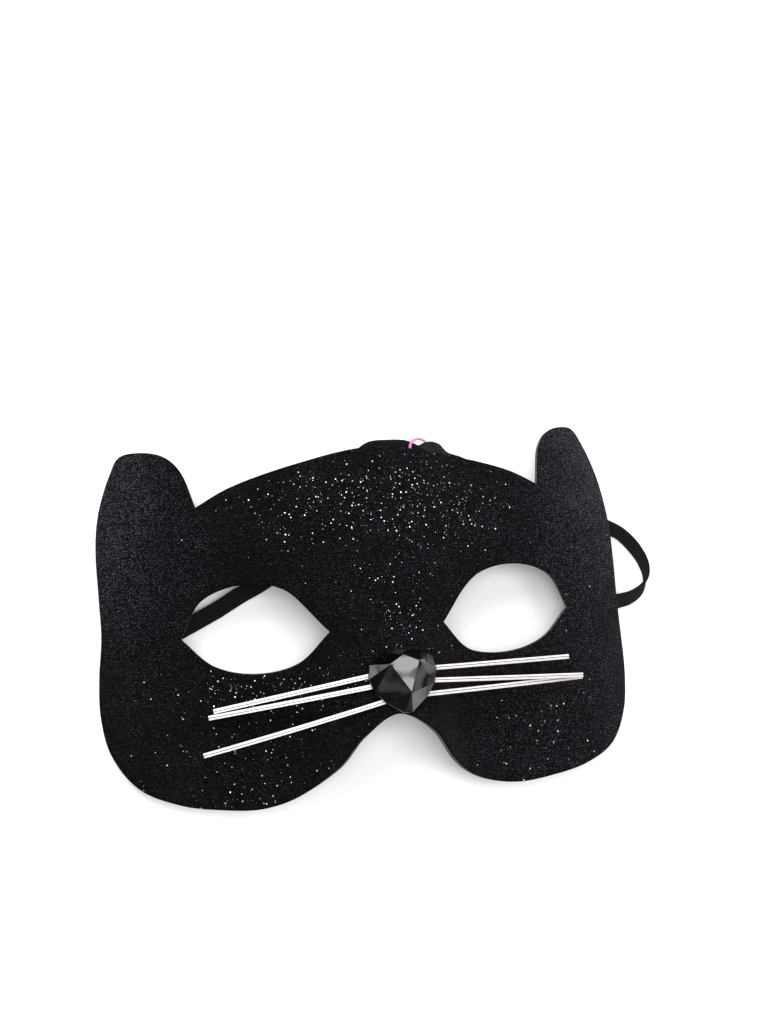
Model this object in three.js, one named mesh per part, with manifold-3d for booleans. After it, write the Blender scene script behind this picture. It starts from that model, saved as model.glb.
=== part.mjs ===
// A cat half mask lying face up: formed fabric-covered sheet with ears, nose stone, whiskers and head elastic.
// Millimetres. +X is the viewer's right, +Y runs towards the ears, +Z is up out of the table.
import * as THREE from 'three';
import { ConvexGeometry } from 'three/addons/geometries/ConvexGeometry.js';
import { mergeVertices } from 'three/addons/utils/BufferGeometryUtils.js';
import Module from 'manifold-3d';

// Driving sizes
const maskWidth = 165;
const maskHeight = 107.4;
const sheetThickness = 1.5;
const stoneWidth = 20.8;
const stoneHeight = 6.6;
const whiskerWidth = 1.4;
const whiskerThickness = 0.7;
const elasticWidth = 5.3;
const elasticThickness = 1.2;
const gap = 0.3;

// How the sheet is formed over a face
const formHalfWidth = 83.6;
const formHalfLength = 49;
const formMiddleY = -3.4;
const formLevel = 19.85;
const sideDrop = 21.2;
const sidePower = 4;
const noseRidge = { height: 9, fall: -9.3, bow: 5.2, halfWidth: 18.6, power: 3.2 };
const browPitch = 9.6;
const browBow = -3.1;
const browCurl = -5.7;
const sideTwist = -9.3;
const sideBow = 1.8;
// Where the elastic passes under the right rim, the rim stands up off the table and is pushed in
const rimProp = { rise: 7.4, leftRise: 2.6, tuck: 2.6, middleY: 10, halfLength: 18 };

// Facets
const sheetCell = 6;
const outlineStep = 3;
const elasticSteps = 96;

const looks = {
  sheet: new THREE.MeshStandardMaterial({ color: 0x141416, roughness: 0.95, metalness: 0 }),
  stone: new THREE.MeshStandardMaterial({ color: 0x08080a, roughness: 0.08, metalness: 0 }),
  whisker: new THREE.MeshStandardMaterial({ color: 0xd9d6da, roughness: 0.3, metalness: 0.8 }),
  elastic: new THREE.MeshStandardMaterial({ color: 0x101113, roughness: 0.85, metalness: 0 }),
  tag: new THREE.MeshStandardMaterial({ color: 0xd84fae, roughness: 0.5, metalness: 0 }),
};

function rimShare(x, y, power) {
  const across = Math.abs(x) / formHalfWidth;
  return across ** power * Math.exp(-(((y - rimProp.middleY) / rimProp.halfLength) ** 4));
}

// Height of the sheet's middle surface: flat brow, bent-down sides, and a rounded ridge over the nose
function formedHeight(x, y) {
  const across = Math.abs(x) / formHalfWidth;
  const along = (y - formMiddleY) / formHalfLength;
  const sides = -sideDrop * across ** sidePower;
  const ridge = Math.exp(-((Math.abs(x) / noseRidge.halfWidth) ** noseRidge.power))
    * (noseRidge.height + noseRidge.fall * along + noseRidge.bow * along ** 2);
  const brow = browPitch * along + browBow * along ** 2 + browCurl * along ** 3;
  const twist = (sideTwist * along + sideBow * along ** 2) * across ** 2;
  const arch = (x > 0 ? rimProp.rise : rimProp.leftRise) * rimShare(x, y, 4);
  return formLevel + sides + ridge + brow + twist + arch;
}

function formedNormal(x, y) {
  const step = 0.1;
  const slopeX = (formedHeight(x + step, y) - formedHeight(x - step, y)) / (2 * step);
  const slopeY = (formedHeight(x, y + step) - formedHeight(x, y - step)) / (2 * step);
  return new THREE.Vector3(-slopeX, -slopeY, 1).normalize();
}

// A smooth curve through points of one half, or through points and their mirror images
function curveThrough(points) {
  const curve = new THREE.CatmullRomCurve3(points.map(([x, y]) => new THREE.Vector3(x, y, 0)), false, 'centripetal');
  const count = Math.round(curve.getLength() / outlineStep);
  return curve.getSpacedPoints(count).map((p) => new THREE.Vector2(p.x, p.y));
}

function mirrored(half) {
  const other = half.slice(1).reverse().map(([x, y]) => [-x, y]);
  return [...other, ...half];
}

// The right half of the cut edge: brow, then ear, side, cheek and nose arch, from the notch beside the ear
const notch = [52.8, 35.7];
const browHalf = [[0, 49.7], [21.8, 46.5], [43, 40.6], notch];
const archHalf = [
  [0, -29], [10.2, -34.6], [17.8, -44], [27.5, -50.9], [39.2, -53.7], [51.2, -52.8], [63, -50.4], [73.7, -45.1],
  [80.3, -35.2], [82.5, -23.4], [82.1, -11.4], [81, 0.6], [80.9, 12.7], [80.6, 24.7], [78.7, 36.6], [74.5, 47.9],
  [71.3, 53], [65.5, 53.6], [59.8, 51.8], [55.9, 47.3], notch,
];
const eyeUpper = [[59.8, -2.2], [53.6, 8.3], [41.8, 12.2], [29.7, 9.9], [17.1, -3.5]];
const eyeLower = [[17.1, -3.5], [26.2, -12.1], [38.7, -14.1], [50.9, -10.8], [59.8, -2.2]];

function sheetOutline() {
  const brow = curveThrough(mirrored(browHalf));
  const rest = curveThrough(mirrored(archHalf)).reverse();
  return new THREE.Shape([...brow, ...rest.slice(1, -1)].reverse());
}

function eyeHole(side) {
  const lid = [...curveThrough(eyeUpper), ...curveThrough(eyeLower).slice(1, -1)];
  return new THREE.Path(lid.map((p) => new THREE.Vector2(side * p.x, p.y)));
}

const wasm = await Module();
wasm.setup();

function toSolid(geometry) {
  const bare = geometry.clone();
  bare.deleteAttribute('normal');
  bare.deleteAttribute('uv');
  const merged = mergeVertices(bare, 1e-4);
  const mesh = new wasm.Mesh({
    numProp: 3,
    vertProperties: Float32Array.from(merged.attributes.position.array),
    triVerts: Uint32Array.from(merged.index.array),
  });
  return new wasm.Manifold(mesh);
}

function toGeometry(solid) {
  const mesh = solid.getMesh();
  const geometry = new THREE.BufferGeometry();
  geometry.setAttribute('position', new THREE.BufferAttribute(Float32Array.from(mesh.vertProperties), 3));
  geometry.setIndex(new THREE.BufferAttribute(Uint32Array.from(mesh.triVerts), 1));
  return geometry;
}

// The mask is cut flat from sheet, then formed, then its side rims are trimmed level where they rest
function maskSheet() {
  const wide = maskWidth + 4 * sheetCell;
  const long = maskHeight + 4 * sheetCell;
  const blank = new THREE.BoxGeometry(
    wide, long, sheetThickness, Math.round(wide / sheetCell), Math.round(long / sheetCell), 1,
  );
  const outline = sheetOutline();
  outline.holes.push(eyeHole(-1), eyeHole(1));
  const cutter = new THREE.ExtrudeGeometry(outline, { depth: 10 * sheetThickness, bevelEnabled: false });
  cutter.translate(0, 0, -5 * sheetThickness);
  const formed = toGeometry(toSolid(blank).intersect(toSolid(cutter)));
  const position = formed.attributes.position;
  for (let i = 0; i < position.count; i += 1) {
    const x = position.getX(i);
    const y = position.getY(i);
    const offset = formedNormal(x, y).multiplyScalar(position.getZ(i));
    const tuck = x > 0 ? rimProp.tuck * rimShare(x, y, 6) : 0;
    position.setXYZ(i, x - tuck + offset.x, y + offset.y, formedHeight(x, y) + offset.z);
  }
  const table = new THREE.BoxGeometry(2 * maskWidth, 2 * maskHeight, formLevel);
  table.translate(0, 0, -formLevel / 2);
  return toGeometry(toSolid(formed).subtract(toSolid(table)));
}

// The stone is a rounded heart with a thin girdle and four large facets round a kite-shaped table
const stoneMiddle = new THREE.Vector2(1.3, -18.2);
const whiskerRootHeight = 31.4;
const stoneBase = whiskerRootHeight + whiskerThickness / 2 + gap;
const stoneGirdle = 1.1;
const stoneTurn = THREE.MathUtils.degToRad(4);

function noseStone() {
  const half = stoneWidth / 2;
  const rim = [[0.53, 0.71], [0.92, 0.45], [1, 0.07], [0.88, -0.31], [0.6, -0.67], [0.12, -1.02]];
  const table = [[-0.46, 0.42], [-0.04, 0.63], [0.39, 0.4], [0.03, -0.45]];
  const points = [];
  for (const [x, y] of rim) {
    for (const side of [-1, 1]) {
      points.push(new THREE.Vector3(side * x * half, y * half, 0));
      points.push(new THREE.Vector3(side * x * half, y * half, stoneGirdle));
    }
  }
  for (const [x, y] of table) {
    points.push(new THREE.Vector3(x * half, y * half, stoneHeight));
  }
  return new ConvexGeometry(points);
}

// Each whisker is a flat strip that leaves the stone level and arches down over the cheek
const whiskers = {
  left_upper: { root: [-4, -16.7], tip: [-52.4, -23.8], tipHeight: 18, arch: 0.4 },
  left_middle: { root: [-3, -19.9], tip: [-53.8, -25.6], tipHeight: 17, arch: 1.4 },
  left_lower: { root: [0, -24.1], tip: [-56.2, -36.3], tipHeight: 17.4, arch: 2.8 },
  right_upper: { root: [8, -16.5], tip: [58.1, -17.3], tipHeight: 17.6, arch: 1 },
  right_middle: { root: [7, -19.9], tip: [62.2, -23.3], tipHeight: 17.5, arch: 2 },
  right_lower: { root: [4, -24], tip: [62.7, -23.8], tipHeight: 15.5, arch: 2.4 },
};

function whiskerStrip({ root, tip, tipHeight, arch }) {
  const length = Math.hypot(tip[0] - root[0], tip[1] - root[1]);
  const steps = 10;
  const upper = [];
  const lower = [];
  for (let i = 0; i <= steps; i += 1) {
    const t = i / steps;
    const height = whiskerRootHeight + (tipHeight - whiskerRootHeight) * t + 4 * arch * t * (1 - t);
    upper.push(new THREE.Vector2(length * t, height + whiskerThickness / 2));
    lower.push(new THREE.Vector2(length * t, height - whiskerThickness / 2));
  }
  const side = new THREE.Shape([...lower, ...upper.reverse()]);
  const strip = new THREE.ExtrudeGeometry(side, { depth: whiskerWidth, bevelEnabled: false });
  strip.translate(0, 0, -whiskerWidth / 2);
  strip.rotateX(Math.PI / 2);
  strip.rotateZ(Math.atan2(tip[1] - root[1], tip[0] - root[0]));
  strip.translate(root[0], root[1], 0);
  return strip;
}

// The elastic runs from inside the left side, up behind the brow, out under the right side and back in.
// Each row is a place and the band's lean there in degrees: flat at 0, on edge at 90.
const elasticRoute = [
  [-75.1, -7.6, 4.2, 0], [-72.4, -6.6, 6, 4], [-68.4, -4.8, 7.2, 10], [-63.8, -2.5, 5.9, 12],
  [-58.8, 0, 4.4, 12], [-52.9, 2.6, 3.5, 12], [-46.7, 5.4, 3.2, 12], [-39, 9.4, 3.2, 12],
  [-30.3, 13.7, 3.6, 13], [-21.5, 22, 5.8, 18], [-14, 33.6, 10.2, 32], [-8.8, 42.2, 14, 60],
  [-4.2, 47.6, 16.2, 80], [0.8, 49.9, 17.2, 46], [6, 50, 17.3, 38], [11.6, 49.7, 17.3, 44],
  [16.4, 49.2, 17.3, 98], [20.2, 48.9, 17.2, 142], [23.2, 48.2, 16.4, 138], [26.2, 46.8, 15.4, 100],
  [32, 43.6, 13.6, 72], [41, 38.6, 9.8, 60], [54, 31.8, 5.6, 54], [68, 26.4, 3.1, 48], [76, 23.2, 2.3, 38],
  [80, 21.6, 2.2, 38], [83.9, 19.5, 2.7, 54], [88.3, 14.8, 3, 60], [91.2, 9.4, 3.1, 74],
  [91.6, 5.2, 3.2, 96], [89.8, 1.4, 3, 126], [86.2, -1, 2.6, 142], [81.8, -1.9, 2.6, 150],
  [77.4, -2.3, 4.6, 164], [74.2, -2.6, 6.9, 176], [70.6, -2.9, 8.9, 180], [66.1, -3.2, 10.7, 180],
];

function elasticLean(t) {
  const place = t * (elasticRoute.length - 1);
  const row = Math.min(Math.floor(place), elasticRoute.length - 2);
  const share = THREE.MathUtils.smoothstep(place - row, 0, 1);
  return THREE.MathUtils.degToRad(THREE.MathUtils.lerp(elasticRoute[row][3], elasticRoute[row + 1][3], share));
}

function elasticBand() {
  const route = new THREE.CatmullRomCurve3(
    elasticRoute.map(([x, y, z]) => new THREE.Vector3(x, y, z)), false, 'centripetal',
  );
  const section = [
    [0.85, -1], [1, -0.6], [1, 0.6], [0.85, 1], [-0.85, 1], [-1, 0.6], [-1, -0.6], [-0.85, -1],
  ];
  const around = section.length;
  const points = [];
  const faces = [];
  for (let i = 0; i <= elasticSteps; i += 1) {
    const t = route.getUtoTmapping(i / elasticSteps);
    const ahead = route.getTangent(t);
    const level = new THREE.Vector3(-ahead.y, ahead.x, 0).normalize();
    const upright = new THREE.Vector3().crossVectors(ahead, level);
    const lean = elasticLean(t);
    const wide = level.multiplyScalar(Math.cos(lean)).addScaledVector(upright, Math.sin(lean));
    const thick = new THREE.Vector3().crossVectors(ahead, wide);
    for (const [acrossShare, depthShare] of section) {
      const p = route.getPoint(t)
        .addScaledVector(wide, acrossShare * elasticWidth / 2)
        .addScaledVector(thick, depthShare * elasticThickness / 2);
      points.push(p.x, p.y, p.z);
    }
  }
  for (let i = 0; i < elasticSteps; i += 1) {
    for (let k = 0; k < around; k += 1) {
      const a = i * around + k;
      const b = i * around + (k + 1) % around;
      faces.push(a, b, b + around, a, b + around, a + around);
    }
  }
  const end = elasticSteps * around;
  for (let k = 1; k < around - 1; k += 1) {
    faces.push(0, k + 1, k, end, end + k, end + k + 1);
  }
  const band = new THREE.BufferGeometry();
  band.setAttribute('position', new THREE.Float32BufferAttribute(points, 3));
  band.setIndex(faces);
  return band;
}

// A small thread loop goes round the elastic at the top of the brow, aslant
const tagMiddle = [16.6, 48.9, 17.4];
const tagThread = 0.8;
const tagAcross = 3;
const tagSlant = { x: -4, z: 3.8 };

function tagLoop() {
  const loop = new THREE.TorusGeometry(1, 0.1, 8, 36);
  const position = loop.attributes.position;
  const across = new THREE.Vector3(0, tagAcross, 0);
  const slant = new THREE.Vector3(tagSlant.x, 0, tagSlant.z);
  const facing = new THREE.Vector3().crossVectors(across, slant).normalize();
  for (let i = 0; i < position.count; i += 1) {
    const angle = Math.atan2(position.getY(i), position.getX(i));
    const out = (Math.hypot(position.getX(i), position.getY(i)) - 1) * 5 * tagThread;
    const side = position.getZ(i) * 5 * tagThread;
    const ring = across.clone().multiplyScalar(Math.cos(angle)).addScaledVector(slant, Math.sin(angle));
    const outward = ring.clone().normalize();
    const p = ring.addScaledVector(outward, out).addScaledVector(facing, side);
    position.setXYZ(i, p.x, p.y, p.z);
  }
  return mergeVertices(loop, 1e-4);
}

function piece(name, geometry, material, [x, y, z] = [0, 0, 0]) {
  const mesh = new THREE.Mesh(geometry, material.clone());
  mesh.name = name;
  mesh.position.set(x, y, z);
  return mesh;
}

const mask = new THREE.Group();
mask.add(piece('mask_shell', maskSheet(), looks.sheet));
const stone = piece('nose_stone', noseStone(), looks.stone, [stoneMiddle.x, stoneMiddle.y, stoneBase]);
stone.rotation.z = stoneTurn;
mask.add(stone);
for (const [place, shape] of Object.entries(whiskers)) {
  mask.add(piece(`whisker_${place}`, whiskerStrip(shape), looks.whisker));
}
mask.add(piece('elastic_strap', elasticBand(), looks.elastic));
mask.add(piece('tag_loop', tagLoop(), looks.tag, tagMiddle));

export default mask;
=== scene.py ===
import math

import bmesh
import bpy
import numpy as np
from mathutils import Matrix, Vector
from mathutils.geometry import delaunay_2d_cdt


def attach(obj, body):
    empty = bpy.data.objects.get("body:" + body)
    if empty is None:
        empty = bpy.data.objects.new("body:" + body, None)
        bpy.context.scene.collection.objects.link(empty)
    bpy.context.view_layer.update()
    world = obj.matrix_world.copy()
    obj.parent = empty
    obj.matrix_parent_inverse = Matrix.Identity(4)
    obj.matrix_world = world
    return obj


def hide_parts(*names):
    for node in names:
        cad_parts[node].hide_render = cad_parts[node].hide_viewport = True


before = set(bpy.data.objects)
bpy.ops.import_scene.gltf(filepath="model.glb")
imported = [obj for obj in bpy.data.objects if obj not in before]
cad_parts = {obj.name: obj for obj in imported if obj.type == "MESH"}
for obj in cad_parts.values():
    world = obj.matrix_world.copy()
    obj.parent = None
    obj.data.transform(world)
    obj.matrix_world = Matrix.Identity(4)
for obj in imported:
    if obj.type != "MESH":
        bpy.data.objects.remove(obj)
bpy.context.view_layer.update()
bpy.context.scene.view_settings.view_transform = "Standard"
mm = 0.001


# Camera
# The photographer stands at the cheek side and leans over the mask from its left, nearly straight above it.
# The lens is a short portrait lens, and its whole field is in focus.
camera_place = Vector((-0.16379, 0.00199, 0.62669))
camera_right = Vector((0.96176, -0.08356, 0.26085))
camera_up = Vector((0.06867, 0.99547, 0.06572))
camera_back = camera_right.cross(camera_up).normalized()
camera_up = camera_back.cross(camera_right).normalized()
camera_right = camera_up.cross(camera_back)
lens = bpy.data.cameras.new("photo_lens")
lens.lens = 74.36
lens.sensor_width = 36
lens.clip_start = 0.01
camera = bpy.data.objects.new("photo_camera", lens)
camera.matrix_world = Matrix.Translation(camera_place) @ Matrix(
    (camera_right, camera_up, camera_back)
).transposed().to_4x4()
bpy.context.scene.collection.objects.link(camera)
bpy.context.scene.camera = camera


# Head elastic
# A flat woven elastic, black, with rubber threads that stand out as lengthwise ribs. It is slack: up behind
# the brow, out from under the right side in a twisted loop, and back in. Both ends are glued inside the
# sides, where a gap of half a millimetre stands for the glue.
elastic_width = 5.3 * mm
elastic_thickness = 1.0 * mm
elastic_ribs = 7
elastic_stations = 420
pick_length = 0.5 * mm
elastic_route = [
    (-75.1, -7.6, 4.2, 0), (-72.4, -6.6, 6, 4), (-68.4, -4.8, 7.2, 10), (-63.8, -2.5, 5.9, 12),
    (-58.8, 0, 4.4, 12), (-52.9, 2.6, 3.5, 12), (-46.7, 5.4, 3.2, 12), (-39, 9.4, 3.2, 12),
    (-30.3, 13.7, 3.6, 13), (-21.5, 22, 5.8, 18), (-14, 33.6, 10.2, 32), (-8.8, 42.2, 14, 60),
    (-4.2, 47.6, 16.2, 80), (0.8, 49.9, 17.2, 46), (6, 50, 17.3, 38), (11.6, 49.7, 17.3, 44),
    (16.4, 49.2, 17.3, 98), (20.2, 48.9, 17.2, 142), (23.2, 48.2, 16.4, 138), (26.2, 46.8, 15.4, 100),
    (32, 43.6, 13.6, 72), (41, 38.6, 9.8, 60), (54, 31.8, 5.6, 54), (68, 26.4, 3.1, 48), (76, 23.2, 2.3, 38),
    (80, 21.6, 2.2, 38), (83.9, 19.5, 2.7, 54), (88.3, 14.8, 3, 60), (91.2, 9.4, 3.1, 74),
    (91.6, 5.2, 3.2, 96), (89.8, 1.4, 3, 126), (86.2, -1, 2.6, 142), (81.8, -1.9, 2.6, 150),
    (77.4, -2.3, 4.6, 164), (74.2, -2.6, 6.9, 176), (70.6, -2.9, 8.9, 180), (66.1, -3.2, 10.7, 180),
]


def smooth_line(knots, count):
    """A curve through the knots, as count points spread evenly along it. Only x, y and z set the spacing."""
    knots = np.asarray(knots, float)
    ends = np.vstack([2 * knots[0] - knots[1], knots, 2 * knots[-1] - knots[-2]])
    fine = []
    for a, b, c, d in zip(ends, ends[1:], ends[2:], ends[3:]):
        before, here, after = (
            math.sqrt(np.linalg.norm((q - p)[:3])) for p, q in ((a, b), (b, c), (c, d))
        )
        start = ((b - a) / before - (c - a) / (before + here) + (c - b) / here) * here
        stop = ((c - b) / here - (d - b) / (here + after) + (d - c) / after) * here
        t = np.linspace(0, 1, 60, endpoint=False)[:, None]
        bend = 3 * (c - b) - 2 * start - stop
        fine.append(b + start * t + bend * t**2 + (start + stop - 2 * (c - b)) * t**3)
    fine = np.vstack(fine + [knots[-1:]])
    run = np.concatenate([[0], np.cumsum(np.linalg.norm(np.diff(fine[:, :3], axis=0), axis=1))])
    even = np.linspace(0, run[-1], count)
    return np.column_stack([np.interp(even, run, column) for column in fine.T])


def line_mesh(name, points, closed=False, **values):
    """A run of edges through the points, with a number for each point under each name."""
    count = len(points)
    edges = [(i, (i + 1) % count) for i in range(count if closed else count - 1)]
    mesh = bpy.data.meshes.new(name)
    mesh.from_pydata([tuple(p) for p in points], edges, [])
    for label, numbers in values.items():
        values_on_points = mesh.attributes.new(label, "FLOAT", "POINT").data
        values_on_points.foreach_set("value", np.asarray(numbers, np.float32))
    thing = bpy.data.objects.new(name, mesh)
    bpy.context.scene.collection.objects.link(thing)
    return thing


def start_tree(name, sockets):
    """An empty geometry tree with the named inputs, its input node and its output node."""
    tree = bpy.data.node_groups.new(name, "GeometryNodeTree")
    tree.interface.new_socket("Geometry", in_out="INPUT", socket_type="NodeSocketGeometry")
    tree.interface.new_socket("Geometry", in_out="OUTPUT", socket_type="NodeSocketGeometry")
    for label, kind in sockets:
        tree.interface.new_socket(label, in_out="INPUT", socket_type=kind)
    return tree, tree.nodes.new("NodeGroupInput"), tree.nodes.new("NodeGroupOutput")


def finish_tree(tree, given, shown, geometry):
    """Every tree ends the same way: instances made real, then the finish put on."""
    real = tree.nodes.new("GeometryNodeRealizeInstances")
    painted = tree.nodes.new("GeometryNodeSetMaterial")
    tree.links.new(geometry, real.inputs["Geometry"])
    tree.links.new(real.outputs["Geometry"], painted.inputs["Geometry"])
    tree.links.new(given.outputs["Finish"], painted.inputs["Material"])
    tree.links.new(painted.outputs["Geometry"], shown.inputs["Geometry"])


def sweep_tree():
    """Lays a section along a line. The line's own lean turns the section about the line."""
    tree, given, shown = start_tree(
        "sweep_section_along_line", [("Section", "NodeSocketObject"), ("Finish", "NodeSocketMaterial")]
    )
    new, join = tree.nodes.new, tree.links.new
    line, upright, leaned = (
        new("GeometryNodeMeshToCurve"), new("GeometryNodeSetCurveNormal"), new("GeometryNodeSetCurveTilt")
    )
    lean, section = new("GeometryNodeInputNamedAttribute"), new("GeometryNodeObjectInfo")
    profile, swept, soft = (
        new("GeometryNodeMeshToCurve"), new("GeometryNodeCurveToMesh"), new("GeometryNodeSetShadeSmooth")
    )
    upright.mode = "Z_UP"
    lean.data_type = "FLOAT"
    lean.inputs["Name"].default_value = "lean"
    swept.inputs["Fill Caps"].default_value = True
    join(given.outputs["Geometry"], line.inputs["Mesh"])
    join(line.outputs["Curve"], upright.inputs["Curve"])
    join(upright.outputs["Curve"], leaned.inputs["Curve"])
    join(lean.outputs["Attribute"], leaned.inputs["Tilt"])
    join(given.outputs["Section"], section.inputs["Object"])
    join(section.outputs["Geometry"], profile.inputs["Mesh"])
    join(leaned.outputs["Curve"], swept.inputs["Curve"])
    join(profile.outputs["Curve"], swept.inputs["Profile Curve"])
    join(swept.outputs["Mesh"], soft.inputs["Geometry"])
    finish_tree(tree, given, shown, soft.outputs["Geometry"])
    return tree


def made_by_tree(thing, tree, **values):
    """Runs the tree on the piece with these inputs, and leaves the result as the piece's plain mesh."""
    step = thing.modifiers.new(tree.name, "NODES")
    step.node_group = tree
    for item in tree.interface.items_tree:
        if item.in_out == "INPUT" and item.name.replace(" ", "_").lower() in values:
            step[item.identifier] = values[item.name.replace(" ", "_").lower()]
    thing.update_tag()
    bpy.context.view_layer.update()
    result = bpy.context.evaluated_depsgraph_get()
    made = bpy.data.meshes.new_from_object(
        thing.evaluated_get(result), preserve_all_data_layers=True, depsgraph=result
    )
    thing.modifiers.remove(step)
    thing.data = made
    made.name = thing.name


def facing_out(thing):
    """Merges doubles and turns every face outwards."""
    work = bmesh.new()
    work.from_mesh(thing.data)
    bmesh.ops.remove_doubles(work, verts=work.verts, dist=1e-7)
    bmesh.ops.recalc_face_normals(work, faces=work.faces)
    work.to_mesh(thing.data)
    work.free()


class Finish:
    """A material's nodes, made in the order in which the finish is described."""

    def __init__(self, name):
        self.material = bpy.data.materials.new(name)
        self.material.use_nodes = True
        self.tree = self.material.node_tree
        self.shader = self.tree.nodes["Principled BSDF"]

    def node(self, kind, settings=None, **inputs):
        made = self.tree.nodes.new("ShaderNode" + kind)
        for key, value in (settings or {}).items():
            setattr(made, key, value)
        for key, value in inputs.items():
            self.give(made.inputs[key.replace("_", " ")], value)
        return made

    def give(self, socket, value):
        if isinstance(value, bpy.types.NodeSocket):
            self.tree.links.new(value, socket)
        else:
            socket.default_value = value

    def sum(self, how, a, b=0.0, c=0.0):
        made = self.tree.nodes.new("ShaderNodeMath")
        made.operation = how
        for socket, value in zip(made.inputs, (a, b, c)):
            self.give(socket, value)
        return made.outputs[0]

    def ramp(self, value, *stops):
        made = self.tree.nodes.new("ShaderNodeValToRGB")
        self.give(made.inputs["Fac"], value)
        while len(made.color_ramp.elements) < len(stops):
            made.color_ramp.elements.new(1.0)
        for element, (place, colour) in zip(made.color_ramp.elements, stops):
            element.position = place
            element.color = (*colour, 1) if hasattr(colour, "__len__") else (colour, colour, colour, 1)
        return made.outputs["Color"]

    def surface(self, **inputs):
        for key, value in inputs.items():
            self.give(self.shader.inputs[key.replace("_", " ")], value)
        return self.material


def woven_elastic():
    finish = Finish("black_woven_elastic")
    along = finish.node("Attribute", {"attribute_name": "along"}).outputs["Fac"]
    across = finish.node("Attribute", {"attribute_name": "across"}).outputs["Fac"]
    pick = finish.sum("SINE", finish.sum("MULTIPLY", along, 2 * math.pi / pick_length))
    rib = finish.sum("COSINE", finish.sum("MULTIPLY", across, 2 * math.pi * elastic_ribs / elastic_width))
    crown = finish.sum("MULTIPLY_ADD", rib, 0.5, 0.5)
    place = finish.node("CombineXYZ", X=finish.sum("MULTIPLY", along, 0.4), Y=across)
    fuzz = finish.node("TexNoise", Vector=place.outputs[0], Scale=5200.0, Detail=3.0, Roughness=0.7)
    weave = finish.sum(
        "ADD", finish.sum("MULTIPLY", crown, finish.sum("MULTIPLY_ADD", pick, 0.12, 0.5)),
        finish.sum("MULTIPLY", fuzz.outputs["Fac"], 0.5),
    )
    shade = finish.ramp(
        weave, (0.2, (0.0016, 0.0017, 0.002)), (0.7, (0.006, 0.0062, 0.0075)), (1.0, (0.026, 0.027, 0.031))
    )
    bump = finish.node("Bump", Strength=0.7, Distance=0.00012, Height=weave)
    return finish.surface(
        Base_Color=shade, Roughness=0.8, Normal=bump.outputs["Normal"], Sheen_Weight=0.03,
        Sheen_Roughness=0.5, Specular_IOR_Level=0.08,
    )


def elastic_section():
    """A flat section with round ribs on both faces and soft edges."""
    points = []
    for face in (1, -1):
        for x in np.linspace(-0.5, 0.5, elastic_ribs * 6 + 1)[: -1]:
            rib = abs(math.cos(math.pi * elastic_ribs * x))
            edge = (1 - (2 * abs(x)) ** 10) ** 0.5
            depth = (0.36 + 0.14 * rib) * edge
            points.append((face * x * elastic_width, face * depth * elastic_thickness, 0))
    return points


elastic_knots = [(x * mm, y * mm, z * mm, math.radians(lean)) for x, y, z, lean in elastic_route]
elastic_line = smooth_line(elastic_knots, elastic_stations)
elastic_run = np.concatenate([[0], np.cumsum(np.linalg.norm(np.diff(elastic_line[:, :3], axis=0), axis=1))])
section = elastic_section()
section_line = line_mesh("elastic_section", section, closed=True, across=[p[0] for p in section])
elastic = line_mesh("head_elastic", elastic_line[:, :3], lean=elastic_line[:, 3], along=elastic_run)
sweep = sweep_tree()
made_by_tree(elastic, sweep, section=section_line, finish=woven_elastic())
bpy.data.objects.remove(section_line)
facing_out(elastic)
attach(elastic, "root")
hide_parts("elastic_strap")


# Pink loop on the elastic
# A thin round thread, pink and slightly glossy, closed once round the elastic where it passes behind the
# brow. It may be what a shop tag hung from.
loop_middle = Vector((16.6, 48.9, 17.4)) * mm
loop_thread = 0.8 * mm
loop_across = Vector((0, 3, 0)) * mm
loop_slant = Vector((-4, 0, 3.8)) * mm


def pink_thread():
    finish = Finish("pink_loop_thread")
    place = finish.node("TexCoord").outputs["Object"]
    twist = finish.node(
        "TexWave", {"bands_direction": "DIAGONAL"}, Vector=place, Scale=900.0, Distortion=1.5
    )
    shade = finish.ramp(twist.outputs["Fac"], (0.0, (0.55, 0.05, 0.28)), (1.0, (0.85, 0.13, 0.5)))
    bump = finish.node("Bump", Strength=0.35, Distance=0.00006, Height=twist.outputs["Fac"])
    return finish.surface(
        Base_Color=shade, Roughness=0.42, Normal=bump.outputs["Normal"], Subsurface_Weight=0.15,
        Coat_Weight=0.15,
    )


loop_turn = np.linspace(0, 2 * math.pi, 96, endpoint=False)
loop_points = [loop_middle + loop_across * math.cos(a) + loop_slant * math.sin(a) for a in loop_turn]
thread_round = [
    (math.cos(a) * loop_thread / 2, math.sin(a) * loop_thread / 2, 0)
    for a in np.linspace(0, 2 * math.pi, 14, endpoint=False)
]
round_line = line_mesh("thread_section", thread_round, closed=True)
loop = line_mesh("pink_loop", loop_points, closed=True, lean=[0.0] * len(loop_points))
made_by_tree(loop, sweep, section=round_line, finish=pink_thread())
bpy.data.objects.remove(round_line)
facing_out(loop)
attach(loop, "root")
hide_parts("tag_loop")


# Mask sheet
# One sheet of black knit bonded to thin black foam with a felt lining, cut flat, then pressed over a form: a
# flat brow, a round ridge over the nose and sides that bend down. The cut edge is left raw. Each side rim
# stands a little up off the table, the right one more, where the elastic passes under it.
sheet_thickness = 1.5 * mm
face_share = 0.36
lining_share = 0.16
edge_step = 0.75 * mm
sheet_cell = 1.3 * mm
edge_inset = 0.22 * mm
edge_clear = 0.8 * mm
lattice_half_width, lattice_half_length = 90 * mm, 60 * mm
edge_round = 0.1 * mm
form_half_width, form_half_length = 83.6 * mm, 49 * mm
form_middle_y, form_level = -3.4 * mm, 19.85 * mm
side_drop, side_power = 21.2 * mm, 4
ridge_height, ridge_fall, ridge_bow = 9 * mm, -9.3 * mm, 5.2 * mm
ridge_half_width, ridge_power = 18.6 * mm, 3.2
brow_pitch, brow_bow, brow_curl = 9.6 * mm, -3.1 * mm, -5.7 * mm
side_twist, side_bow = -9.3 * mm, 1.8 * mm
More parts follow.
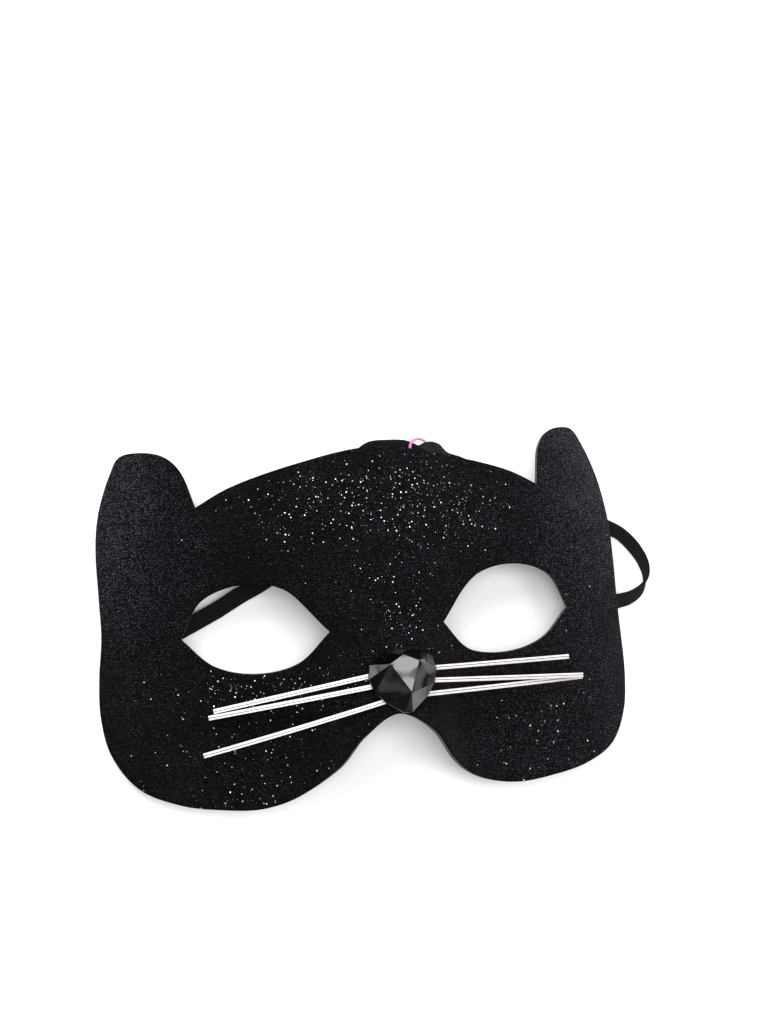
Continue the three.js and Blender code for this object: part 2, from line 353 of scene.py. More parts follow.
rim_rise, left_rim_rise, rim_tuck = 7.4 * mm, 2.6 * mm, 2.6 * mm
rim_middle_y, rim_half_length = 10 * mm, 18 * mm
ear_notch = (52.8, 35.7)
brow_half = [(0, 49.7), (21.8, 46.5), (43, 40.6), ear_notch]
rim_half = [
    (0, -29), (10.2, -34.6), (17.8, -44), (27.5, -50.9), (39.2, -53.7), (51.2, -52.8), (63, -50.4),
    (73.7, -45.1), (80.3, -35.2), (82.5, -23.4), (82.1, -11.4), (81, 0.6), (80.9, 12.7), (80.6, 24.7),
    (78.7, 36.6), (74.5, 47.9), (71.3, 53), (65.5, 53.6), (59.8, 51.8), (55.9, 47.3), ear_notch,
]
eye_upper = [(59.8, -2.2), (53.6, 8.3), (41.8, 12.2), (29.7, 9.9), (17.1, -3.5)]
eye_lower = [(17.1, -3.5), (26.2, -12.1), (38.7, -14.1), (50.9, -10.8), (59.8, -2.2)]


def rim_share(x, y, power):
    """How far a place shares in its side rim's standing up off the table."""
    return (np.abs(x) / form_half_width) ** power * np.exp(-(((y - rim_middle_y) / rim_half_length) ** 4))


def formed_height(x, y):
    """Height of the sheet's middle, for x and y in metres."""
    across = np.abs(x) / form_half_width
    along = (y - form_middle_y) / form_half_length
    sides = -side_drop * across**side_power
    ridge = np.exp(-((np.abs(x) / ridge_half_width) ** ridge_power)) * (
        ridge_height + ridge_fall * along + ridge_bow * along**2
    )
    brow = brow_pitch * along + brow_bow * along**2 + brow_curl * along**3
    twist = (side_twist * along + side_bow * along**2) * across**2
    arch = np.where(x > 0, rim_rise, left_rim_rise) * rim_share(x, y, 4)
    return form_level + sides + ridge + brow + twist + arch


def formed_slopes(x, y):
    """How steep the form is at a place, to the right and towards the ears."""
    step = 0.1 * mm
    slope_x = (formed_height(x + step, y) - formed_height(x - step, y)) / (2 * step)
    slope_y = (formed_height(x, y + step) - formed_height(x, y - step)) / (2 * step)
    return slope_x, slope_y


def on_form(flat, rise):
    """Points of the flat cut pressed over the form, each at its own rise over the sheet's middle."""
    slope_x, slope_y = formed_slopes(flat[:, 0], flat[:, 1])
    normal = np.column_stack([-slope_x, -slope_y, np.ones(len(flat))])
    normal /= np.linalg.norm(normal, axis=1)[:, None]
    middle = np.column_stack([flat, formed_height(flat[:, 0], flat[:, 1])])
    middle[:, 0] -= np.where(flat[:, 0] > 0, rim_tuck, 0) * rim_share(flat[:, 0], flat[:, 1], 6)
    formed = middle + normal * np.asarray(rise).reshape(-1, 1)
    formed[:, 2] = np.maximum(formed[:, 2], 0)
    return formed


def cut_line(knots):
    """The cutter's line through knots given in mm, as flat points in metres."""
    flat = np.array([(x * mm, y * mm, 0) for x, y in knots])
    length = np.linalg.norm(np.diff(smooth_line(flat, 400), axis=0), axis=1).sum()
    return smooth_line(flat, round(length / edge_step) + 1)[:, :2]


def both_halves(half):
    """The half line and its mirror image as one line, from the left ear's notch to the right one's."""
    return [(-x, y) for x, y in half[:0:-1]] + list(half)


def outline_loop():
    """The whole cut edge, counter-clockwise."""
    loop = np.vstack([cut_line(both_halves(brow_half)), cut_line(both_halves(rim_half))[::-1][1:-1]])
    return loop[::-1]


def eye_loop(side):
    """An eye hole's edge, clockwise, so that the sheet lies to its left as it does along the outline."""
    loop = np.vstack([cut_line(eye_upper), cut_line(eye_lower)[1:-1]]) * (side, 1)
    area = np.cross(loop, np.roll(loop, -1, axis=0)).sum()
    return loop if area < 0 else loop[::-1]


def inset_line(loop, distance):
    """The loop moved sideways into the sheet."""
    ahead = np.roll(loop, -1, axis=0) - np.roll(loop, 1, axis=0)
    ahead /= np.linalg.norm(ahead, axis=1)[:, None]
    return loop + np.column_stack([-ahead[:, 1], ahead[:, 0]]) * distance


def inside(points, loop):
    """Which points lie inside the loop."""
    x, y = points[:, 0][:, None], points[:, 1][:, None]
    x0, y0 = loop[:, 0][None], loop[:, 1][None]
    x1, y1 = np.roll(loop[:, 0], -1)[None], np.roll(loop[:, 1], -1)[None]
    rises = np.where(y1 == y0, 1e-12, y1 - y0)
    crossed = ((y0 > y) != (y1 > y)) & (x < x0 + (y - y0) * (x1 - x0) / rises)
    return crossed.sum(1) % 2 == 1


def on_sheet(points):
    """Which points lie inside the outline and in neither eye hole."""
    return inside(points, cut_loops[0]) & ~inside(points, cut_loops[1]) & ~inside(points, cut_loops[2])


def lattice(cell, clear):
    """An even triangular lattice of points on the sheet, clear of its edges."""
    rows = []
    for row, y in enumerate(np.arange(-lattice_half_length, lattice_half_length, cell * math.sqrt(3) / 2)):
        x = np.arange(-lattice_half_width, lattice_half_width, cell) + (row % 2) * cell / 2
        rows.append(np.column_stack([x, np.full(len(x), y)]))
    points = np.vstack(rows)
    points = points[on_sheet(points)]
    edge = np.vstack(cut_loops)
    near = np.array([np.min(np.sum((edge - p) ** 2, axis=1)) for p in points])
    return points[near > clear**2]


cut_loops = [outline_loop(), eye_loop(-1), eye_loop(1)]
shoulder = np.vstack([inset_line(loop, edge_inset) for loop in cut_loops])
field = lattice(sheet_cell, edge_clear)
flat_points = np.vstack(cut_loops + [shoulder, field])
edge_runs, start = [], 0
for cut_loop in cut_loops:
    edge_runs.append(np.arange(start, start + len(cut_loop)))
    start += len(cut_loop)
edge_count = start
edge_pairs = [(int(a), int(b)) for run in edge_runs for a, b in zip(run, np.roll(run, -1))]
cut_points, _, cut_faces, kept_points, _, _ = delaunay_2d_cdt(
    [Vector(p) for p in flat_points.tolist()], edge_pairs, [], 0, 1e-9
)
if len(cut_points) != len(flat_points):
    raise RuntimeError("the sheet's points ran together")
order = [source[0] for source in kept_points]
triangles = np.array([[order[i] for i in face] for face in cut_faces])
triangles = triangles[on_sheet(flat_points[triangles].mean(axis=1))]
corner = flat_points[triangles]
turn = np.cross(corner[:, 1] - corner[:, 0], corner[:, 2] - corner[:, 0])
triangles[turn < 0] = triangles[turn < 0][:, ::-1]


def cloth_place(flat):
    """Where each point lies on the flat cloth: the way along the formed surface from its middle."""
    steps = 60
    place = np.zeros_like(flat)
    for axis in (0, 1):
        for i in range(steps):
            share = (i + 0.5) / steps
            at = flat.copy()
            at[:, axis] *= share
            slope = formed_slopes(at[:, 0], at[:, 1])[axis]
            place[:, axis] += flat[:, axis] / steps * np.sqrt(1 + slope**2)
    return place


flat_on_cloth = cloth_place(flat_points)


def layer(name, top, bottom, rounded_top=0.0, rounded_bottom=0.0):
    """One closed layer of the sheet between two rises over its middle, with eased edges."""
    count = len(flat_points)
    upper, lower = np.full(count, top), np.full(count, bottom)
    upper[:edge_count] -= rounded_top
    lower[:edge_count] += rounded_bottom
    points = np.vstack([on_form(flat_points, upper), on_form(flat_points, lower)])
    faces = [tuple(int(i) for i in t) for t in triangles]
    faces += [tuple(int(i) + count for i in t[::-1]) for t in triangles]
    faces += [(b, a, a + count, b + count) for a, b in edge_pairs]
    mesh = bpy.data.meshes.new(name)
    mesh.from_pydata(points.tolist(), [], faces)
    place = np.vstack([flat_on_cloth, flat_on_cloth])
    corners = np.zeros(len(mesh.loops), np.int32)
    mesh.loops.foreach_get("vertex_index", corners)
    mesh.uv_layers.new(name="cloth").data.foreach_set("uv", place[corners].ravel().astype(np.float32))
    mesh.shade_smooth()
    thing = bpy.data.objects.new(name, mesh)
    bpy.context.scene.collection.objects.link(thing)
    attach(thing, "root")
    return thing


knit_loops_per_metre, knit_row = 3700.0, 0.92 * mm
# Painted light: where the cloth is painted paler over the sides and the ears, how much paler, and a little
# more towards the right
painted_side_light_starts, painted_side_light_ends = 40 * mm, 92 * mm
painted_ear_light_starts, painted_ear_light_ends = -30 * mm, 45 * mm
painted_light_at_middle, painted_light_per_metre_right, painted_light_of_sides_and_ears = 0.88, 2.6, 0.82
spark_contrast = 2.5


def knit_cloth():
    finish = Finish("black_knit")
    place = finish.node("UVMap", {"uv_map": "cloth"}).outputs["UV"]
    stretched = finish.node("Mapping", Vector=place, Scale=(1.0, 1.12, 1.0))
    loops = finish.node(
        "TexVoronoi", Vector=stretched.outputs["Vector"], Scale=knit_loops_per_metre, Randomness=0.85
    )
    fibre = finish.node("TexNoise", Vector=place, Scale=4200.0, Detail=3.0, Roughness=0.75)
    drift = finish.node("TexNoise", Vector=place, Scale=60.0, Detail=2.0)
    spot = finish.node("SeparateXYZ", Vector=place).outputs
    rows = finish.sum("SINE", finish.sum("MULTIPLY", spot["Y"], 2 * math.pi / knit_row))
    # Painted light: the cloth is painted paler over the sides and the ears, where the side and back lights
    # fall on it, and painted a little paler to the right
    painted_side_light = finish.node(
        "MapRange", {"interpolation_type": "SMOOTHSTEP"}, Value=finish.sum("ABSOLUTE", spot["X"]),
        From_Min=painted_side_light_starts, From_Max=painted_side_light_ends, To_Min=0.0, To_Max=1.0,
    ).outputs["Result"]
    painted_ear_light = finish.node(
        "MapRange", {"interpolation_type": "SMOOTHSTEP"}, Value=spot["Y"],
        From_Min=painted_ear_light_starts, From_Max=painted_ear_light_ends, To_Min=0.2, To_Max=1.2,
    ).outputs["Result"]
    painted_light_to_right = finish.sum("MULTIPLY_ADD", spot["X"], painted_light_per_metre_right, painted_light_at_middle)
    painted_sides_and_ears = finish.sum("MULTIPLY", painted_side_light, painted_ear_light)
    painted_light = finish.sum("MULTIPLY_ADD", painted_sides_and_ears, painted_light_of_sides_and_ears, painted_light_to_right)
    own_shade = finish.node("SeparateColor", Color=loops.outputs["Color"]).outputs["Red"]
    spark = finish.sum("POWER", own_shade, spark_contrast)
    nub = finish.sum("SUBTRACT", 1.0, finish.sum("MULTIPLY", loops.outputs["Distance"], 1.3))
    tone = finish.sum("MULTIPLY", spark, finish.sum("MULTIPLY_ADD", fibre.outputs["Fac"], 1.15, 0.08))
    tone = finish.sum("MULTIPLY", tone, finish.sum("MULTIPLY_ADD", drift.outputs["Fac"], 0.7, 0.65))
    tone = finish.sum("MULTIPLY", tone, finish.sum("MULTIPLY_ADD", rows, 0.12, 0.9))
    # The painted light both scales the cloth's tone and lifts it, paler over the sides, the ears and the
    # right
    tone = finish.sum("MULTIPLY_ADD", tone, painted_light, finish.sum("MULTIPLY_ADD", painted_light, 0.085, -0.098))
    shade = finish.ramp(
        tone, (0.0, (0.0008, 0.0008, 0.001)), (0.3, (0.0055, 0.0052, 0.0068)), (1.0, (0.06, 0.057, 0.07))
    )
    height = finish.sum(
        "ADD", finish.sum("MULTIPLY", nub, 0.7), finish.sum("MULTIPLY", fibre.outputs["Fac"], 0.6)
    )
    bump = finish.node("Bump", Strength=0.7, Distance=0.0002, Height=height)
    return finish.surface(
        Base_Color=shade, Roughness=0.9, Normal=bump.outputs["Normal"], Sheen_Weight=0.018,
        Sheen_Roughness=0.4, Sheen_Tint=(0.8, 0.78, 0.95, 1), Specular_IOR_Level=0.03,
    )


def plain_foam():
    finish = Finish("black_foam_edge")
    place = finish.node("TexCoord").outputs["Object"]
    cells = finish.node("TexVoronoi", Vector=place, Scale=4200.0)
    shade = finish.ramp(cells.outputs["Distance"], (0.0, 0.1), (0.6, 0.06), (1.0, 0.02))
    bump = finish.node("Bump", Strength=0.5, Distance=0.0001, Height=cells.outputs["Distance"])
    return finish.surface(
        Base_Color=shade, Roughness=0.85, Normal=bump.outputs["Normal"], Specular_IOR_Level=0.3
    )


def felt_lining():
    finish = Finish("black_felt_lining")
    place = finish.node("UVMap", {"uv_map": "cloth"}).outputs["UV"]
    long_fibre = finish.node("Mapping", Vector=place, Scale=(1.0, 3.0, 1.0))
    fibre = finish.node(
        "TexNoise", Vector=long_fibre.outputs["Vector"], Scale=1400.0, Detail=5.0, Roughness=0.7,
        Distortion=1.6,
    )
    shade = finish.ramp(fibre.outputs["Fac"], (0.3, 0.005), (0.7, 0.03))
    bump = finish.node("Bump", Strength=0.6, Distance=0.0002, Height=fibre.outputs["Fac"])
    return finish.surface(
        Base_Color=shade, Roughness=0.95, Normal=bump.outputs["Normal"], Sheen_Weight=0.3, Sheen_Roughness=0.6
    )


half_sheet = sheet_thickness / 2
face_depth = face_share * sheet_thickness
lining_depth = lining_share * sheet_thickness
seam_gap = 0.01 * mm
face = layer("mask_face_cloth", half_sheet, half_sheet - face_depth, rounded_top=edge_round)
face.data.materials.append(knit_cloth())
core = layer("mask_foam_core", half_sheet - face_depth - seam_gap, -half_sheet + lining_depth + seam_gap)
core.data.materials.append(plain_foam())
lining = layer("mask_felt_lining", -half_sheet + lining_depth, -half_sheet, rounded_bottom=edge_round)
lining.data.materials.append(felt_lining())
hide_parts("mask_shell")


# Glitter
# Silver flecks up to half a millimetre across, dusted over glue on the brow, between the eyes and on the
# cheeks. Each is tilted a little its own way, so that some shine and some don't.
fleck_smallest, fleck_largest = 0.13 * mm, 0.5 * mm
fleck_thickness_share, fleck_tilt, fleck_rarity = 0.16, 0.3, 2.6
fleck_lift = 0.02 * mm
place_seed, size_seed, tone_seed = 7, 3, 11
fleck_patches = [
    # (x, y, half width, half length, share), in mm
    (12, 34, 21, 11, 0.88), (-20, 34, 19, 10, 0.7), (25, 26, 7, 6, 0.8), (3, 1, 10, 15, 0.56),
    (-36, -19, 22, 6, 0.85), (-44, -38, 24, 9, 0.26), (-46, -52, 14, 4, 0.45), (48, -38, 13, 12, 0.22),
    (60, 0, 8, 12, 0.08),
]
flecks_per_square_metre = 420000.0


def silver_fleck():
    finish = Finish("silver_glitter")
    tint = finish.node("Attribute", {"attribute_name": "fleck_tone"}).outputs["Fac"]
    shade = finish.ramp(
        tint, (0.0, (0.22, 0.22, 0.24)), (0.4, (0.5, 0.49, 0.52)), (0.7, (0.78, 0.77, 0.8)),
        (1.0, (0.9, 0.9, 0.9)),
    )
    place = finish.node("TexCoord").outputs["Object"]
    grain = finish.node("TexNoise", Vector=place, Scale=9000.0)
    rough = finish.node("MapRange", Value=grain.outputs["Fac"], To_Min=0.2, To_Max=0.5)
    return finish.surface(Base_Color=shade, Metallic=0.25, Roughness=rough.outputs["Result"])


def glitter_tree():
    """Scatters six-sided flecks over a cloth, as close together as its sparkle value says."""
    tree, given, shown = start_tree("scatter_glitter", [
        ("Flecks per square metre", "NodeSocketFloat"), ("Smallest", "NodeSocketFloat"),
        ("Largest", "NodeSocketFloat"), ("Seed", "NodeSocketInt"), ("Finish", "NodeSocketMaterial"),
    ])
    new, join = tree.nodes.new, tree.links.new
    sparkle, spread = new("GeometryNodeInputNamedAttribute"), new("GeometryNodeDistributePointsOnFaces")
    sparkle.data_type = "FLOAT"
    sparkle.inputs["Name"].default_value = "sparkle"
    spread.distribute_method = "RANDOM"
    density = new("ShaderNodeMath")
    density.operation = "MULTIPLY"
    join(sparkle.outputs["Attribute"], density.inputs[0])
    join(given.outputs["Flecks per square metre"], density.inputs[1])
    join(given.outputs["Geometry"], spread.inputs["Mesh"])
    join(density.outputs[0], spread.inputs["Density"])
    join(given.outputs["Seed"], spread.inputs["Seed"])
    fleck, placed = new("GeometryNodeMeshCylinder"), new("GeometryNodeInstanceOnPoints")
    fleck.inputs["Vertices"].default_value = 6
    fleck.inputs["Radius"].default_value = 0.5
    fleck.inputs["Depth"].default_value = fleck_thickness_share
    join(spread.outputs["Points"], placed.inputs["Points"])
    join(fleck.outputs["Mesh"], placed.inputs["Instance"])
    tilt, turned = new("FunctionNodeRandomValue"), new("FunctionNodeRotateRotation")
    tilt.data_type = "FLOAT_VECTOR"
    tilt.inputs[0].default_value = (-fleck_tilt, -fleck_tilt, 0)
    tilt.inputs[1].default_value = (fleck_tilt, fleck_tilt, 6.28)
    turned.rotation_space = "LOCAL"
    join(spread.outputs["Rotation"], turned.inputs["Rotation"])
    join(tilt.outputs[0], turned.inputs["Rotate By"])
    join(turned.outputs["Rotation"], placed.inputs["Rotation"])
    chance, rare = new("FunctionNodeRandomValue"), new("ShaderNodeMath")
    chance.data_type = "FLOAT"
    chance.inputs["Seed"].default_value = size_seed
    rare.operation = "POWER"
    rare.inputs[1].default_value = fleck_rarity
    size = new("ShaderNodeMapRange")
    join(chance.outputs[1], rare.inputs[0])
    join(rare.outputs[0], size.inputs["Value"])
    join(given.outputs["Smallest"], size.inputs["To Min"])
    join(given.outputs["Largest"], size.inputs["To Max"])
    join(size.outputs["Result"], placed.inputs["Scale"])
    tone, kept = new("FunctionNodeRandomValue"), new("GeometryNodeStoreNamedAttribute")
    tone.data_type = "FLOAT"
    tone.inputs["Seed"].default_value = tone_seed
    kept.data_type = "FLOAT"
    kept.domain = "INSTANCE"
    kept.inputs["Name"].default_value = "fleck_tone"
    join(placed.outputs["Instances"], kept.inputs["Geometry"])
    join(tone.outputs[1], kept.inputs["Value"])
    finish_tree(tree, given, shown, kept.outputs["Geometry"])
    return tree


flat_in_mm = flat_points / mm
sparkle_share = np.zeros(len(flat_in_mm))
for x, y, half_x, half_y, share in fleck_patches:
    across, along = (flat_in_mm[:, 0] - x) / half_x, (flat_in_mm[:, 1] - y) / half_y
    sparkle_share += share * np.exp(-(across**2) - along**2)
sparkle_share[:edge_count] = 0
glitter_cloth = bpy.data.meshes.new("glitter")
glitter_cloth.from_pydata(
    on_form(flat_points, np.full(len(flat_points), half_sheet + fleck_lift)).tolist(), [],
    [tuple(int(i) for i in t) for t in triangles],
)
glitter_cloth.attributes.new("sparkle", "FLOAT", "POINT").data.foreach_set(
    "value", sparkle_share.astype(np.float32)
)
glitter = bpy.data.objects.new("glitter_flecks", glitter_cloth)
bpy.context.scene.collection.objects.link(glitter)
made_by_tree(
    glitter, glitter_tree(), flecks_per_square_metre=flecks_per_square_metre, smallest=fleck_smallest,
    largest=fleck_largest, seed=place_seed, finish=silver_fleck(),
)
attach(glitter, "root")


# Nose stone
# A heart-shaped stone of black acrylic, moulded with a thin girdle and large polished facets round a
# kite-shaped table. It is glued down over the ends of the whiskers.
stone_half = 10.4 * mm
stone_height, stone_girdle, stone_base = 6.6 * mm, 1.1 * mm, 32.05 * mm
stone_middle = Vector((1.3 * mm, -18.2 * mm, stone_base))
stone_turn = math.radians(4)
stone_edge = 0.14 * mm
stone_rim = [(0.53, 0.71), (0.92, 0.45), (1, 0.07), (0.88, -0.31), (0.6, -0.67), (0.12, -1.02)]
stone_table = [(-0.46, 0.42), (-0.04, 0.63), (0.39, 0.4), (0.03, -0.45)]


def black_acrylic():
    finish = Finish("black_polished_acrylic")
    place = finish.node("TexCoord").outputs["Object"]
    flow = finish.node("TexNoise", Vector=place, Scale=85.0, Detail=0.0)
    smudge = finish.node("TexNoise", Vector=place, Scale=700.0, Detail=4.0, Roughness=0.6)
    shade = finish.ramp(flow.outputs["Fac"], (0.3, 0.0006), (0.8, 0.0016))
    rough = finish.node(
        "MapRange", Value=smudge.outputs["Fac"], From_Min=0.35, From_Max=0.75, To_Min=0.05, To_Max=0.16
    )
    bump = finish.node("Bump", Strength=0.9, Distance=0.002, Height=flow.outputs["Fac"])
    return finish.surface(
        Base_Color=shade, Roughness=rough.outputs["Result"], Normal=bump.outputs["Normal"], IOR=1.5,
        Coat_Weight=0.3, Coat_Roughness=0.04,
    )


def cut_stone():
    work = bmesh.new()
    for x, y in stone_rim:
        for side in (-1, 1):
            for z in (0, stone_girdle):
                work.verts.new((side * x * stone_half, y * stone_half, z))
    for x, y in stone_table:
        work.verts.new((x * stone_half, y * stone_half, stone_height))
    bmesh.ops.convex_hull(work, input=work.verts)
    bmesh.ops.dissolve_limit(work, angle_limit=0.01, verts=work.verts, edges=work.edges)
    bmesh.ops.recalc_face_normals(work, faces=work.faces)
    bmesh.ops.transform(
        work, matrix=Matrix.Translation(stone_middle) @ Matrix.Rotation(stone_turn, 4, "Z"), verts=work.verts
    )
    mesh = bpy.data.meshes.new("nose_stone_cut")
    work.to_mesh(mesh)
    work.free()
    thing = bpy.data.objects.new("nose_stone_cut", mesh)
    bpy.context.scene.collection.objects.link(thing)
    return thing


stone = cut_stone()
stone.data.materials.append(black_acrylic())
eased = stone.modifiers.new("eased_edges", "BEVEL")
eased.width = stone_edge
eased.segments = 2
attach(stone, "root")
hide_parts("nose_stone")


# Whiskers
# Six strips of silvered plastic, each pressed with lengthwise grooves and snipped square at the tip. They
# fan out from under the stone and arch down over the cheeks.
whisker_width, whisker_thickness, whisker_root_height = 1.4 * mm, 0.7 * mm, 31.4 * mm
whisker_lays = {
    # (root x, y), (tip x, y), tip height and arch, in mm
    "left_upper": ((-4, -16.7), (-52.4, -23.8), 18, 0.4),
    "left_middle": ((-3, -19.9), (-53.8, -25.6), 17, 1.4),
    "left_lower": ((0, -24.1), (-56.2, -36.3), 17.4, 2.8),
    "right_upper": ((8, -16.5), (58.1, -17.3), 17.6, 1),
    "right_middle": ((7, -19.9), (62.2, -23.3), 17.5, 2),
    "right_lower": ((4, -24), (62.7, -23.8), 15.5, 2.4),
}
grooves = [
    # (place, width, depth), as shares of the strip's width, width and thickness
    (-0.05, 0.09, 0.24), (0.27, 0.05, 0.14),
]
whisker_stations = 40


def silvered_strip():
    finish = Finish("silvered_plastic")
    place = finish.node("TexCoord").outputs["Object"]
    drawn = finish.node("Mapping", Vector=place, Scale=(1.0, 14.0, 14.0))
    lines = finish.node("TexNoise", Vector=drawn.outputs["Vector"], Scale=220.0, Detail=4.0, Roughness=0.6)
    across = finish.node("Attribute", {"attribute_name": "across"}).outputs["Fac"]
    # Painted shade: the colour across the strip is darkened along the main groove, as shade in it. The second
    # groove is a darker pink, which is pink tint with painted shade, and the edges are tinted pink.
    line = finish.ramp(
        finish.sum("MULTIPLY_ADD", across, 1 / whisker_width, 0.5), (0.0, (0.7, 0.5, 0.56)), (0.08, 1.0),
        (0.33, 1.0), (0.38, (0.2, 0.15, 0.17)), (0.52, (0.2, 0.15, 0.17)), (0.59, 1.0), (0.7, 1.0),
        (0.77, (0.66, 0.42, 0.5)), (0.85, 1.0), (1.0, (0.8, 0.74, 0.76)),
    )
    drawn_shade = finish.ramp(lines.outputs["Fac"], (0.3, (0.54, 0.515, 0.53)), (0.6, (0.72, 0.7, 0.71)))
    shade = finish.node("VectorMath", {"operation": "MULTIPLY"})
    finish.give(shade.inputs[0], line)
    finish.give(shade.inputs[1], drawn_shade)
    rough = finish.node("MapRange", Value=lines.outputs["Fac"], To_Min=0.3, To_Max=0.5)
    bump = finish.node("Bump", Strength=0.2, Distance=0.00008, Height=lines.outputs["Fac"])
    return finish.surface(
        Base_Color=shade.outputs["Vector"], Metallic=0.12, Roughness=rough.outputs["Result"],
        Normal=bump.outputs["Normal"],
    )


def whisker_section():
    """A flat strip with eased corners and the grooves pressed into its upper face."""
    top_face = []
    for x in np.linspace(-0.44, 0.44, 45):
        depth = sum(deep * math.exp(-(((x - at) / wide) ** 2) * 2.5) for at, wide, deep in grooves)
        top_face.append((x * whisker_width, (0.5 - depth) * whisker_thickness, 0))
    side = [(0.485, 0.4), (0.5, 0.28), (0.5, -0.34), (0.47, -0.47), (0.42, -0.5)]
    right = [(x * whisker_width, y * whisker_thickness, 0) for x, y in side]
    left = [(-x, y, 0) for x, y, _ in right[::-1]]
    return top_face + right + left


whisker_outline = whisker_section()
strip_line = line_mesh(
    "whisker_section", whisker_outline, closed=True, across=[p[0] for p in whisker_outline]
)
silver = silvered_strip()
for name, (root, tip, tip_height, arch) in whisker_lays.items():
    t = np.linspace(0, 1, whisker_stations)
    rise = whisker_root_height + (tip_height * mm - whisker_root_height) * t + 4 * arch * mm * t * (1 - t)
    level = [(start + (end - start) * t) * mm for start, end in zip(root, tip)]
    points = np.column_stack([*level, rise])
    whisker = line_mesh("whisker_" + name + "_strip", points, lean=np.zeros(len(points)))
    made_by_tree(whisker, sweep, section=strip_line, finish=silver)
    facing_out(whisker)
    whisker.data.set_sharp_from_angle(angle=math.radians(40))
    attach(whisker, "root")
    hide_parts("whisker_" + name)
bpy.data.objects.remove(strip_line)


# Glue under the stone
# A bead of dark glue between the nose ridge and the stone, pinched in at half its height. It closes round
# the ends of the upper and middle whiskers and stops short of the lower two. It shows only from the side.
glue_half_width, glue_half_length, glue_ahead = 9.4 * mm, 7.6 * mm, 1.2 * mm
glue_share, glue_pinch, glue_sink = 0.86, 0.14, 0.1 * mm


def glue_bead():
    work = bmesh.new()
    rings, around = 7, 48
    rows = []
    for ring in range(rings):
        share = ring / (rings - 1)
        spread = glue_share - glue_pinch * math.sin(math.pi * share)
        row = []
        for i in range(around):
            a = 2 * math.pi * i / around
            x = glue_half_width * spread * math.cos(a) + stone_middle.x
            y = glue_half_length * spread * math.sin(a) + stone_middle.y + glue_ahead
            ground = float(formed_height(x, y)) + half_sheet - glue_sink
            row.append(work.verts.new((x, y, ground + (stone_base + glue_sink - ground) * share)))
        rows.append(row)
    for lower, upper in zip(rows, rows[1:]):
        for i in range(around):
            j = (i + 1) % around
            work.faces.new((lower[i], lower[j], upper[j], upper[i]))
    work.faces.new(rows[0][::-1])
    work.faces.new(rows[-1])
    bmesh.ops.recalc_face_normals(work, faces=work.faces)
    mesh = bpy.data.meshes.new("stone_glue")
    work.to_mesh(mesh)
    work.free()
    mesh.shade_smooth()
    thing = bpy.data.objects.new("stone_glue", mesh)
    bpy.context.scene.collection.objects.link(thing)
    return thing


def dark_glue():
    finish = Finish("dark_glue")
    place = finish.node("TexCoord").outputs["Object"]
    lumps = finish.node("TexNoise", Vector=place, Scale=420.0, Detail=2.0)
    shade = finish.ramp(lumps.outputs["Fac"], (0.3, 0.006), (0.7, 0.02))
    bump = finish.node("Bump", Strength=0.5, Distance=0.0004, Height=lumps.outputs["Fac"])
    return finish.surface(Base_Color=shade, Roughness=0.3, Normal=bump.outputs["Normal"])


glue = glue_bead()
glue.data.materials.append(dark_glue())
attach(glue, "root")


# Table and light
# The mask lies on a plain white table. Soft boxes light it from behind the camera, from above, from beyond
# the ears and from low at the sides. The room's own faint light is uneven, for the stone to mirror.
room_glow = (0.1, 0.04)
room_patches, room_patch_limits, room_patch_scale = (0.0, 1.2), (0.46, 0.7), 3.5
lamps = [
    # name, place and size in metres, power in watts
    ("key_box", (-0.19, 0.005, 0.82), (0.3, 0.32), 3.9),
    ("panel_above", (0.37, -0.06, 1.35), (0.4, 0.5), 5.0),
    ("window_back_left", (-0.4, 0.8, 1.1), (0.75, 0.6), 16.5),
    ("low_box_front_right", (1.0, -0.7, 0.4), (0.6, 0.5), 1.3),
    ("side_box_left", (-1.0, 0.3, 0.4), (0.5, 0.8), 4.0),
    ("side_box_right", (1.0, 0.3, 0.4), (0.5, 0.8), 4.2),
]


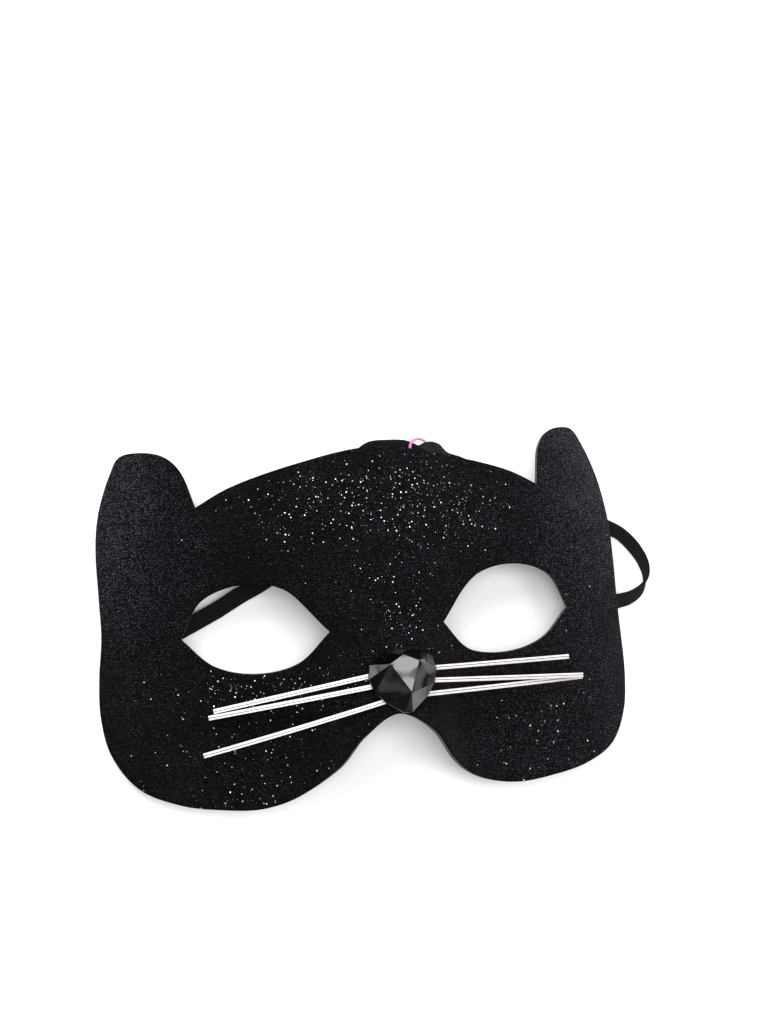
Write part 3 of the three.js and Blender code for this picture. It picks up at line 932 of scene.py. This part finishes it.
def add_light(name, place, size, power):
    """A soft box that faces the middle of the mask's place on the table."""
    lamp = bpy.data.lights.new(name, "AREA")
    lamp.shape = "RECTANGLE"
    lamp.size, lamp.size_y = size
    lamp.energy = power
    thing = bpy.data.objects.new(name, lamp)
    thing.location = place
    thing.rotation_euler = (-Vector(place)).to_track_quat("-Z", "Y").to_euler()
    bpy.context.scene.collection.objects.link(thing)


def white_table():
    finish = Finish("white_table_top")
    place = finish.node("TexCoord").outputs["Object"]
    haze = finish.node("TexNoise", Vector=place, Scale=6.0, Detail=3.0)
    shade = finish.ramp(haze.outputs["Fac"], (0.3, 0.86), (0.7, 0.88))
    return finish.surface(Base_Color=shade, Roughness=0.6, Specular_IOR_Level=0.3)


def uneven_room():
    """A dim room, dimmest overhead, with soft patches of light all round."""
    sky = bpy.data.worlds.new("studio_room")
    sky.use_nodes = True
    room = sky.node_tree
    new, join = room.nodes.new, room.links.new
    direction, height, glow = (
        new("ShaderNodeTexCoord"), new("ShaderNodeSeparateXYZ"), new("ShaderNodeMapRange")
    )
    glow.inputs["To Min"].default_value, glow.inputs["To Max"].default_value = room_glow
    join(direction.outputs["Generated"], height.inputs["Vector"])
    join(height.outputs["Z"], glow.inputs["Value"])
    clutter, patches = new("ShaderNodeTexNoise"), new("ShaderNodeMapRange")
    clutter.inputs["Scale"].default_value = room_patch_scale
    clutter.inputs["Detail"].default_value = 1.0
    patches.inputs["From Min"].default_value, patches.inputs["From Max"].default_value = room_patch_limits
    patches.inputs["To Min"].default_value, patches.inputs["To Max"].default_value = room_patches
    join(direction.outputs["Generated"], clutter.inputs["Vector"])
    join(clutter.outputs["Fac"], patches.inputs["Value"])
    total = new("ShaderNodeMath")
    join(glow.outputs["Result"], total.inputs[0])
    join(patches.outputs["Result"], total.inputs[1])
    join(total.outputs[0], room.nodes["Background"].inputs["Strength"])
    room.nodes["Background"].inputs["Color"].default_value = (1, 1, 1, 1)
    return sky


table_mesh = bpy.data.meshes.new("table_top")
table_mesh.from_pydata([(-3, -3, 0), (3, -3, 0), (3, 3, 0), (-3, 3, 0)], [], [(0, 1, 2, 3)])
table = bpy.data.objects.new("table_top", table_mesh)
table_mesh.materials.append(white_table())
bpy.context.scene.collection.objects.link(table)
bpy.context.scene.world = uneven_room()
for lamp in lamps:
    add_light(*lamp)
